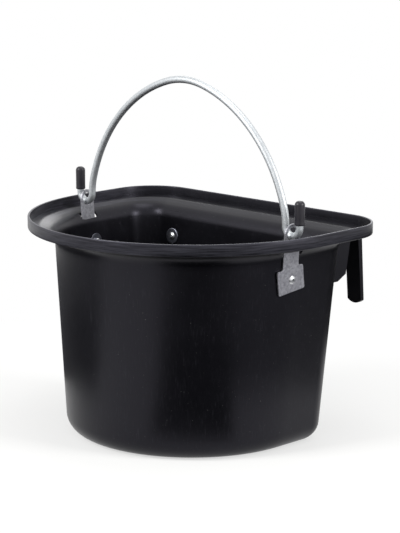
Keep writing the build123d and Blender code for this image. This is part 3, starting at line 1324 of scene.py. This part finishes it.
@dataclass
class RailHooks:
    """The two moulded hooks behind the flat back: block, seat, arm and downward leg."""

    shell: BucketShell
    x: float = 112.5
    width: float = 20.0
    skin: float = 3.0
    bottom: float = 171.0
    chamfer: float = 7.0
    block_reach: float = 46.0
    block_lean: float = 7.5
    seat_drop: float = 15.5
    seat_width: float = 14.0
    seat_corner: float = 2.5
    seat_steps: int = 4
    leg: float = 5.0
    leg_splay: float = 6.5
    tip: float = 138.5
    tip_sag: float = 4.0
    tip_y: float = 180.0
    tip_depth: float = 40.0
    shoulder: float = 12.0
    shoulder_out: float = 1.0
    shoulder_turn: float = 4.0
    gap: float = 0.3
    edge: float = 0.7
    edge_angle: float = 40.0
    overrun: float = 1.0
    form_rise: float = 20.0
    sharp: float = 30.0

    def outline(self) -> list[Point]:
        """The hook's side outline at the inner face of its width.

        Returns:
            The outline's points in metres.
        """
        back, ledge = self.shell.top.back_y, self.shell.flare.height
        top, seat = ledge - self.gap, ledge - self.seat_drop
        block_end = back + self.block_reach
        low = block_end - self.block_lean
        leg = block_end + self.seat_width
        foot = leg + self.leg_splay
        wall = self.shell.base.back_y
        corner, steps = self.seat_corner, self.seat_steps
        bend = (leg + self.leg - self.shoulder + self.shoulder_out, top - self.shoulder)
        lean = math.degrees(math.atan2(self.leg_splay, seat - self.tip))
        points = [
            (wall, self.bottom),
            (low - 2 * self.chamfer, self.bottom),
            (low, self.bottom + self.chamfer),
            *arc((block_end + corner, seat - corner), corner, 180, 90, steps),
            *arc((leg - corner, seat - corner), corner, 90, lean / 2, steps),
            (foot, self.tip),
            (foot + self.leg, self.tip),
            *arc(bend, self.shoulder, self.shoulder_turn, 90, 2 * steps),
            (wall, top),
        ]
        inner = (self.x - self.width / 2) * MM
        return [(inner, y * MM, z * MM) for y, z in points]

    def pocket(self) -> Piece:
        """The hollow under the block, open downwards, as a cutting block.

        Returns:
            The block at its place.
        """
        near = self.shell.top.back_y + self.skin
        far = self.shell.top.back_y + self.block_reach - self.block_lean - self.skin
        low = self.bottom - self.overrun
        high = self.shell.flare.height - self.seat_drop - self.skin
        middle = Vector((self.x * MM, (near + far) / 2 * MM, (low + high) / 2 * MM))
        size = (self.width - 2 * self.skin, far - near, high - low)
        return block("hook_pocket", size, Matrix.Translation(middle))

    def tip_block(self) -> Piece:
        """What the rounded tip leaves out, as a cutting block.

        Returns:
            The block at its place.
        """
        radius = (self.width**2 / 4 + self.tip_sag**2) / (2 * self.tip_sag)
        rounding = start(
            "tip_round",
            bpy.ops.mesh.primitive_cylinder_add,
            vertices=160,
            radius=radius * MM,
            depth=2 * self.tip_depth * MM,
            location=(self.x * MM, self.tip_y * MM, (self.tip + radius) * MM),
            rotation=(math.pi / 2, 0, 0),
        )
        middle = Vector((self.x * MM, self.tip_y * MM, self.tip * MM))
        size = (2 * self.width, self.tip_depth, 2 * self.tip_sag)
        return cut(block("tip_zone", size, Matrix.Translation(middle)), rounding)

    def shell_form(self) -> Piece:
        """The shell's outside as a plain solid, to shape the hook where it meets the wall.

        Returns:
            The solid.
        """
        levels = [self.shell.base, self.shell.top, self.shell.flare, self.shell.ledge]
        form = self.shell.bridged("shell_form", levels)
        level = self.shell.ledge.height * MM - TOUCH

        def outermost(a: Vector, b: Vector) -> bool:
            """Whether an edge lies on the ledge's outer outline.

            Args:
                a: One end of the edge, in metres.
                b: Its other end.

            Returns:
                True if both ends do.
            """
            return all(place.z > level and self.shell.on_rim(place) for place in (a, b))

        pick(form, Element.EDGE, outermost)
        pull((0, 0, self.form_rise * MM))
        bpy.ops.mesh.edge_face_add()
        close(form)
        return weld(form)

    def build(self, finishes: Finishes) -> None:
        """Model the right-hand hook, copy it to the left, and dress both.

        Args:
            finishes: The finishes.
        """
        hook = slab("right_rail_hook", self.outline(), (self.width * MM, 0, 0))
        cut(hook, self.tip_block())
        angle = math.radians(self.edge_angle)
        modify(
            hook,
            "BEVEL",
            width=self.edge * MM,
            segments=3,
            limit_method="ANGLE",
            angle_limit=angle,
        )
        cut(hook, self.pocket(), self.shell_form())
        dress_pair(hook, finishes.hook, self.sharp, "bucket", "hook", True)


# ---- rivets and washers ---------------------------------------------------------------------


class Fastener(Enum):
    """A small piece of a riveted joint, as the record's material slot for it."""

    RIVET = "rivet_alloy"
    MANDREL = "mandrel_steel"
    WASHER = "zinc_washer"

    @property
    def label(self) -> str:
        """The piece's name in lower case."""
        return self.name.lower()


@dataclass
class BlindRivets:
    """Dome-headed blind rivets with their snapped mandrels and large washers."""

    shell: BucketShell
    seat: BracketSeat
    hooks: RailHooks
    shank: float = 2.4
    tuck: float = 0.02
    head: float = 4.75
    head_height: float = 1.7
    head_inset: float = 0.15
    rim_turn: float = 1.5
    mouth: float = 0.25
    mouth_steps: tuple[Flat, ...] = ((0.05, 0.2), (0.0, 0.5))
    bulb: float = 3.6
    bulb_height: float = 3.4
    mandrel: float = 1.3
    mandrel_slack: float = 0.005
    mandrel_head: float = 2.0
    mandrel_break: float = 1.2
    break_steps: tuple[Flat, ...] = ((0.0, 0.25), (0.6, 0.2), (0.9, 0.0), (1.0, 0.1))
    washer_radius: float = 9.5
    washer_thickness: float = 1.2
    washer_gap: float = 0.05
    washer_roll: tuple[Flat, ...] = ((1.1, 0.0), (0.35, 0.06), (0.08, 0.25), (0.0, 0.5))
    washer_edge: float = 0.2
    clearance: float = 0.1
    hook_z: float = 196.5
    sharp: float = 38.0
    offsets: dict[Side, float] = field(
        default_factory=lambda: {Side.RIGHT: 3.0, Side.LEFT: 6.0}
    )

    def rivet(self, name: str, grip: float) -> Piece:
        """Turn a set rivet whose head sits on Z = 0.

        Args:
            name: The piece's name.
            grip: What the rivet clamps, in millimetres.

        Returns:
            The rivet.
        """
        top = self.head_height
        dome = (self.head**2 + top**2) / (2 * top)
        edge = math.degrees(math.acos(min(1.0, self.head / dome)))
        crown = math.degrees(math.acos((self.mandrel + self.mouth) / dome))
        swell = self.bulb_height / 4
        low = -grip - self.bulb_height
        outline = [
            (self.shank, -self.tuck),
            (self.head - self.head_inset, 0.0),
            *arc((0.0, top - dome), dome, edge + self.rim_turn, crown, 8),
            *((self.mandrel + out, top - drop) for out, drop in self.mouth_steps),
            (self.mandrel, low),
            *arc((self.bulb - swell, low + swell), swell, -90, 0, 4),
            *arc((self.bulb - swell, -grip - swell), swell, 0, 90, 4),
            (self.shank, -grip),
            (self.shank, -self.tuck),
        ]
        return lathe(name, outline, 32)

    def stem(self, name: str, grip: float) -> Piece:
        """Turn the snapped mandrel inside a rivet.

        Args:
            name: The piece's name.
            grip: What the rivet clamps, in millimetres.

        Returns:
            The mandrel.
        """
        top = self.head_height - self.mandrel_break
        low = -grip - self.bulb_height
        ball, radius = self.mandrel_head, self.mandrel - self.mandrel_slack
        outline = [
            *((radius * share, top - drop) for share, drop in self.break_steps),
            (radius, low),
            (ball, low),
            *arc((ball / 2, low - ball / 2), ball / 2, 0, -90, 4),
            (0.0, low - ball),
        ]
        return lathe(name, outline, 24)

    def washer(self, name: str) -> Piece:
        """Turn a large washer below Z = 0, its stamped edge slightly rolled.

        Args:
            name: The piece's name.

        Returns:
            The washer.
        """
        hole = self.shank + self.clearance
        rim, thick, edge = self.washer_radius, self.washer_thickness, self.washer_edge
        outline = [
            (hole, 0.0),
            *((rim - inset, -drop) for inset, drop in self.washer_roll),
            (rim, -thick + edge),
            (rim - edge, -thick),
            (hole, -thick),
            (hole, 0.0),
        ]
        return lathe(name, outline, 48)

    def washer_seat(self, offset: float) -> float:
        """Depth of a bracket washer's outer face below the outside of the curved wall.

        Args:
            offset: How far the rivet stands behind the strip's centre line.

        Returns:
            The depth in millimetres.
        """
        top, wall = self.shell.top, self.shell.wall
        depth = top.height - self.seat.plate_z
        curve = top.half_width - self.shell.slope("half_width") * depth - wall
        reach = self.washer_radius + offset
        return wall + curve - math.sqrt(curve**2 - reach**2) + self.washer_gap

    def inside_back(self) -> Matrix:
        """The inner face of the flat back at the right-hand hook's rivet.

        Returns:
            A frame whose Z points into the bucket, in metres.
        """
        top, slope = self.shell.top, self.shell.slope("back_y")
        outward = Vector((0.0, 1.0, -slope)).normalized()
        left = Vector((-1.0, 0.0, 0.0))
        spot = Vector((self.hooks.x, top.back_y - slope * (top.height - self.hook_z), self.hook_z))
        spot -= outward * self.shell.wall
        inward = -outward
        place = Matrix((left, inward.cross(left), inward)).transposed().to_4x4()
        return Matrix.Translation(spot * MM) @ place

    def build(self, finishes: Finishes) -> None:
        """Model and dress every rivet, mandrel and washer.

        Args:
            finishes: The finishes.
        """
        looks = {part: getattr(finishes, part.label) for part in Fastener}
        wall = self.seat.plane()
        for side, offset in self.offsets.items():
            depth = self.washer_seat(offset)
            grip = self.seat.sheet + depth + self.washer_thickness
            spot = wall @ Matrix.Translation((offset * MM, 0, 0))
            raised = spot @ Matrix.Translation((0, 0, self.seat.sheet * MM))
            sunk = spot @ Matrix.Translation((0, 0, -depth * MM))
            label = side.label
            for part, piece in (
                (Fastener.RIVET, stand(self.rivet(f"{label}_plate_rivet", grip), raised)),
                (Fastener.MANDREL, stand(self.stem(f"{label}_plate_stem", grip), raised)),
                (Fastener.WASHER, stand(self.washer(f"{label}_wall_washer"), sunk)),
            ):
                piece = moved_left(piece) if side is Side.LEFT else piece
                node = f"{label}_bracket_{part.label}"
                dress(piece, looks[part], self.sharp, "bucket", node)
        drop = self.shell.top.height - self.hook_z + self.bulb
        clamped = self.washer_thickness + self.shell.wall + self.hooks.skin
        grip = clamped + self.shell.slope("back_y") * drop
        inside = self.inside_back() @ Matrix.Translation((0, 0, self.washer_thickness * MM))
        for part, piece in (
            (Fastener.RIVET, self.rivet("right_back_rivet", grip)),
            (Fastener.MANDREL, self.stem("right_back_stem", grip)),
            (Fastener.WASHER, self.washer("right_back_washer")),
        ):
            stand(piece, inside)
            node = f"hook_{part.label}"
            dress_pair(piece, looks[part], self.sharp, "bucket", node)


# ---- bail -----------------------------------------------------------------------------------


@dataclass
class Bail:
    """The swinging bail: one round bar with turned-up ends, and a vinyl cap on each end."""

    seat: BracketSeat
    bar: float = 4.0
    eye_clearance: float = 0.5
    foot_x: float = 152.0
    stub_x: float = 172.0
    stub_top: float = 27.5
    lower_radius: float = 72.0
    lower_angle: float = 15.4
    shoulder_radius: float = 176.0
    shoulder_angle: float = 58.4
    bend_steps: int = 24
    lower_steps: int = 5
    shoulder_steps: int = 26
    crown_steps: int = 8
    ring_steps: int = 28
    cap_length: float = 26.5
    cap_wall: float = 1.5
    cap_top: float = 2.2
    cap_dome: float = 0.8
    cap_foot: tuple[Flat, ...] = ((0.12, 6.0), (0.10, 2.2), (0.0, 1.3), (0.05, 0.5), (0.45, 0.0))
    cap_mouth: tuple[Flat, ...] = ((0.25, 0.0), (0.0, 0.4))
    cap_clearance: float = 0.05
    sharp: float = 50.0

    def hinge(self) -> Vector:
        """Where the bar's centre lies in the right-hand eye.

        Returns:
            The place in millimetres.
        """
        seat = self.seat
        eye = seat.plane() @ Vector((0, seat.eye_rise * MM, seat.sheet / 2 * MM))
        drop = seat.eye_hole - self.bar - self.eye_clearance
        return eye / MM - Vector((0, 0, drop))

    def sweep(self, centre: Flat, depth: float, degrees: float, steps: int) -> None:
        """Spin the picked end of the bar round a centre, in the plane of the arch.

        Args:
            centre: The centre's X and Z in millimetres.
            depth: The plane's Y in millimetres.
            degrees: The turn, clockwise as seen from the round front.
            steps: How many steps it has.
        """
        bpy.ops.mesh.spin(
            steps=steps,
            angle=-math.radians(degrees),
            center=(centre[0] * MM, depth * MM, centre[1] * MM),
            axis=(0, 1, 0),
        )

    def bar_piece(self, hinge: Vector) -> Piece:
        """Model the bar's right half and mirror it.

        Args:
            hinge: The hinge's place in the right-hand eye.

        Returns:
            The whole bar.
        """
        bend = (self.stub_x - self.foot_x) / 2
        bend_z = hinge.z + bend
        piece = start(
            "bail_bar",
            bpy.ops.mesh.primitive_circle_add,
            vertices=self.ring_steps,
            radius=self.bar * MM,
            location=(self.stub_x * MM, hinge.y * MM, (bend_z + self.stub_top) * MM),
            fill_type="NGON",
        )
        pick(piece, Element.FACE)
        pull((0, 0, -self.stub_top * MM))
        self.sweep((self.stub_x - bend, bend_z), hinge.y, 180.0, self.bend_steps)
        lower = (self.foot_x - self.lower_radius, bend_z)
        self.sweep(lower, hinge.y, -self.lower_angle, self.lower_steps)
        turn = math.radians(self.lower_angle)
        reach = self.lower_radius - self.shoulder_radius
        shoulder = (lower[0] + reach * math.cos(turn), lower[1] + reach * math.sin(turn))
        self.sweep(shoulder, hinge.y, -self.shoulder_angle, self.shoulder_steps)
        turn += math.radians(self.shoulder_angle)
        end_x = shoulder[0] + self.shoulder_radius * math.cos(turn)
        end_z = shoulder[1] + self.shoulder_radius * math.sin(turn)
        crown = end_z - end_x * math.tan(turn)
        self.sweep((0.0, crown), hinge.y, -(90 - math.degrees(turn)), self.crown_steps)
        bpy.ops.mesh.delete(type="ONLY_FACE")
        close(piece)
        modify(
            piece,
            "MIRROR",
            use_axis=(True, False, False),
            use_mirror_merge=True,
            merge_threshold=0.05 * MM,
        )
        return weld(piece)

    def cap(self, hinge: Vector) -> Piece:
        """Turn the right-hand end cap and stand it on the bar's end.

        Args:
            hinge: The hinge's place in the right-hand eye.

        Returns:
            The cap.
        """
        bore = self.bar + self.cap_clearance
        outer = bore + self.cap_wall
        dome = outer * self.cap_dome
        foot = self.cap_top - self.cap_length
        outline = [
            (0.0, self.cap_top),
            *arc((outer - dome, self.cap_top - dome), dome, 90, 0, 10)[1:],
            *((outer - inset, foot + rise) for inset, rise in self.cap_foot),
            *((bore + inset, foot + rise) for inset, rise in self.cap_mouth),
            (bore, 0.0),
            (0.0, 0.0),
        ]
        top = hinge.z + (self.stub_x - self.foot_x) / 2 + self.stub_top
        place = Matrix.Translation(Vector((self.stub_x, hinge.y, top)) * MM)
        return stand(lathe("right_bail_end", outline, 36), place)

    def build(self, finishes: Finishes) -> None:
        """Model and dress the bar and its caps.

        Args:
            finishes: The finishes.
        """
        hinge = self.hinge()
        bar = self.bar_piece(hinge)
        dress(bar, finishes.bar, self.sharp, "bail", "bail_handle")
        dress_pair(self.cap(hinge), finishes.cap, self.sharp, "bail", "bail_cap")


# ---- studio ---------------------------------------------------------------------------------


def aimed(data: bpy.types.ID, place: Point, aim: Point) -> bpy.types.Object:
    """Put a lamp or a camera at its place and turn it to its aim.

    Args:
        data: The lamp or the camera.
        place: Where it stands.
        aim: What it looks at.

    Returns:
        Its object.
    """
    tool = bpy.data.objects.new(data.name, data)
    bpy.context.scene.collection.objects.link(tool)
    tool.location = place
    gaze = Vector(aim) - Vector(place)
    tool.rotation_euler = gaze.to_track_quat("-Z", "Y").to_euler()
    return tool


class LampRole(Enum):
    """What a soft lamp is for."""

    KEY = "key"
    FILL = "fill"
    TOP = "top"
    BACK = "back"


@dataclass(frozen=True)
class SoftLamp:
    """One rectangular soft box."""

    role: LampRole
    place: Point
    aim: Point
    width: float
    height: float
    watts: float

    def build(self) -> None:
        """Hang the lamp and turn it to its aim."""
        light = bpy.data.lights.new(f"{self.role.value}_softbox", "AREA")
        light.shape = "RECTANGLE"
        light.size = self.width
        light.size_y = self.height
        light.energy = self.watts
        aimed(light, self.place, self.aim)


@dataclass(frozen=True)
class GreyCard:
    """A matt card laid round the bucket, hidden from the camera, from light and from shadow, which
    only paints a reflection into the bucket's gloss.

    Bearings are in degrees, from the round front towards the right-hand side.
    """

    name: str
    start: float
    end: float
    inner: float
    outer: float
    colour: str
    height: float = 0.002
    steps: int = 24

    def board(self, tree: Tree) -> Socket:
        """The card's matt surface."""
        return add(tree, "ShaderNodeBsdfDiffuse", {"Color": linear(self.colour)}).outputs[0]

    def build(self) -> None:
        """Cut the card, lay it down and hide it from all but reflections."""
        turn = math.radians(self.start - 90)
        ends = [
            (reach * math.cos(turn), reach * math.sin(turn), self.height)
            for reach in (self.inner, self.outer)
        ]
        card = draw(self.name, ends)
        pick(card, Element.VERTEX)
        span = math.radians(self.end - self.start)
        bpy.ops.mesh.spin(steps=self.steps, angle=-span, center=(0, 0, 0), axis=(0, 0, 1))
        close(card)
        weld(card)
        card.data.materials.append(make_material(f"{self.name}_board", self.board))
        for ray in ("camera", "diffuse", "transmission", "shadow"):
            setattr(card, f"visible_{ray}", False)


@dataclass
class Studio:
    """Plain pale floor, white surroundings, grey cards that paint dark and grey reflections, soft
    lamps and the camera, in metres.
    """

    camera_place: Point = (1.5932, -1.6010, 0.6549)
    camera_aim: Point = (0.03336, 0.00787, 0.19522)
    lens: float = 184.7
    floor_size: float = 40.0
    floor_colour: str = "#f2f2f0"
    floor_glow: float = 0.55
    shade_reach: Flat = (0.22, 0.60)
    ambient: float = 0.55
    # These cards show only in reflections: painted dark and grey reflections on the shell and the
    # metal.
    cards: tuple[GreyCard, ...] = (
        GreyCard("front_card", 21.0, 76.0, 0.185, 1.05, "#29292c"),
        GreyCard("right_card", 76.0, 140.0, 0.32, 0.98, "#77777b"),
        GreyCard("rear_card", 140.0, 190.0, 0.45, 1.60, "#242427"),
        GreyCard("left_card", -170.0, -33.0, 0.28, 1.05, "#4e4e52"),
        GreyCard("far_front_card", 34.0, 60.0, 1.05, 1.75, "#29292c"),
        GreyCard("far_right_card", 98.0, 132.0, 0.98, 1.75, "#77777b"),
        GreyCard("far_rear_card", 132.0, 140.0, 0.98, 1.75, "#242427"),
    )
    lamps: tuple[SoftLamp, ...] = (
        SoftLamp(LampRole.KEY, (-0.75, -1.9, 1.5), (0.0, 0.0, 0.15), 0.9, 1.3, 38.0),
        SoftLamp(LampRole.FILL, (1.9, 0.6, 1.0), (0.0, 0.0, 0.15), 0.8, 1.1, 25.0),
        SoftLamp(LampRole.TOP, (0.1, 0.3, 2.2), (0.0, 0.0, 0.2), 1.2, 1.2, 10.0),
        SoftLamp(LampRole.BACK, (-1.5, 1.9, 0.95), (-0.15, -0.05, 0.23), 0.7, 0.5, 3.2),
    )

    def seen(self, tree: Tree) -> Socket:
        """Whether a ray comes from the camera, or from metal or glass.

        Args:
            tree: The node tree.

        Returns:
            A socket that is above 0 where it does.
        """
        rays = add(tree, "ShaderNodeLightPath").outputs
        seen = rays["Is Camera Ray"]
        for ray in ("Is Glossy Ray", "Is Transmission Ray"):
            links = {0: seen, 1: rays[ray]}
            seen = add(tree, "ShaderNodeMath", {"operation": "MAXIMUM"}, links).outputs[0]
        return seen

    def surroundings(self) -> None:
        """White surroundings that light the object more weakly than they show."""
        world = bpy.data.worlds.new("studio")
        bpy.context.scene.world = world
        world.use_nodes = True
        tree = world.node_tree
        tree.nodes.clear()
        strength = add(
            tree,
            "ShaderNodeMapRange",
            {"To Min": self.ambient, "To Max": 1.0},
            {"Value": self.seen(tree)},
        )
        light = add(
            tree,
            "ShaderNodeBackground",
            {"Color": linear("#ffffff")},
            {"Strength": strength.outputs[0]},
        )
        add(tree, "ShaderNodeOutputWorld", {}, {"Surface": light.outputs[0]})

    def paper(self, tree: Tree) -> Socket:
        """The floor's surface: pale and shaded near the bucket, plain white further out.

        Args:
            tree: The empty node tree.

        Returns:
            The surface.
        """
        matt = add(
            tree,
            "ShaderNodeBsdfDiffuse",
            {"Color": linear(self.floor_colour), "Roughness": 0.5},
        )
        glow = add(
            tree,
            "ShaderNodeEmission",
            {"Color": linear("#ffffff")},
            {"Strength": self.seen(tree)},
        )
        place = add(tree, "ShaderNodeTexCoord").outputs["Object"]
        away = add(tree, "ShaderNodeVectorMath", {"operation": "LENGTH"}, {0: place})
        near, far = self.shade_reach
        glowing = add(
            tree,
            "ShaderNodeMapRange",
            {"From Min": near, "From Max": far, "To Min": self.floor_glow, "To Max": 1.0},
            {"Value": away.outputs["Value"]},
        )
        links = {"Fac": glowing.outputs[0], 1: matt.outputs[0], 2: glow.outputs[0]}
        return add(tree, "ShaderNodeMixShader", {}, links).outputs[0]

    def floor(self) -> None:
        """A plain pale floor that keeps the object's shadow."""
        floor = start(
            "floor", bpy.ops.mesh.primitive_plane_add, size=self.floor_size, location=(0, 0, 0)
        )
        floor.data.materials.append(make_material("pale_paper", self.paper))

    def camera(self) -> None:
        """The camera at its viewing angle."""
        data = bpy.data.cameras.new("camera")
        data.sensor_fit = "HORIZONTAL"
        data.sensor_width = 36.0
        data.lens = self.lens
        data.clip_end = 100.0
        bpy.context.scene.camera = aimed(data, self.camera_place, self.camera_aim)

    def build(self) -> None:
        """Set up the whole studio."""
        bpy.context.scene.view_settings.view_transform = "Standard"
        self.surroundings()
        self.floor()
        for fixture in (*self.cards, *self.lamps):
            fixture.build()
        self.camera()


# ---- main -----------------------------------------------------------------------------------


def main() -> None:
    """Build the studio and every sub-assembly on the frame."""
    logging.basicConfig(level=logging.INFO, format="%(name)s: %(message)s")
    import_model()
    finishes = make_finishes()
    shell = BucketShell()
    seat = BracketSeat(shell)
    hooks = RailHooks(shell)
    shell.build(finishes, seat)
    BailBrackets(seat).build(finishes)
    BlindRivets(shell, seat, hooks).build(finishes)
    hooks.build(finishes)
    Bail(seat).build(finishes)
    Studio().build()
    deselect_all()


if __name__ == "__main__":
    main()
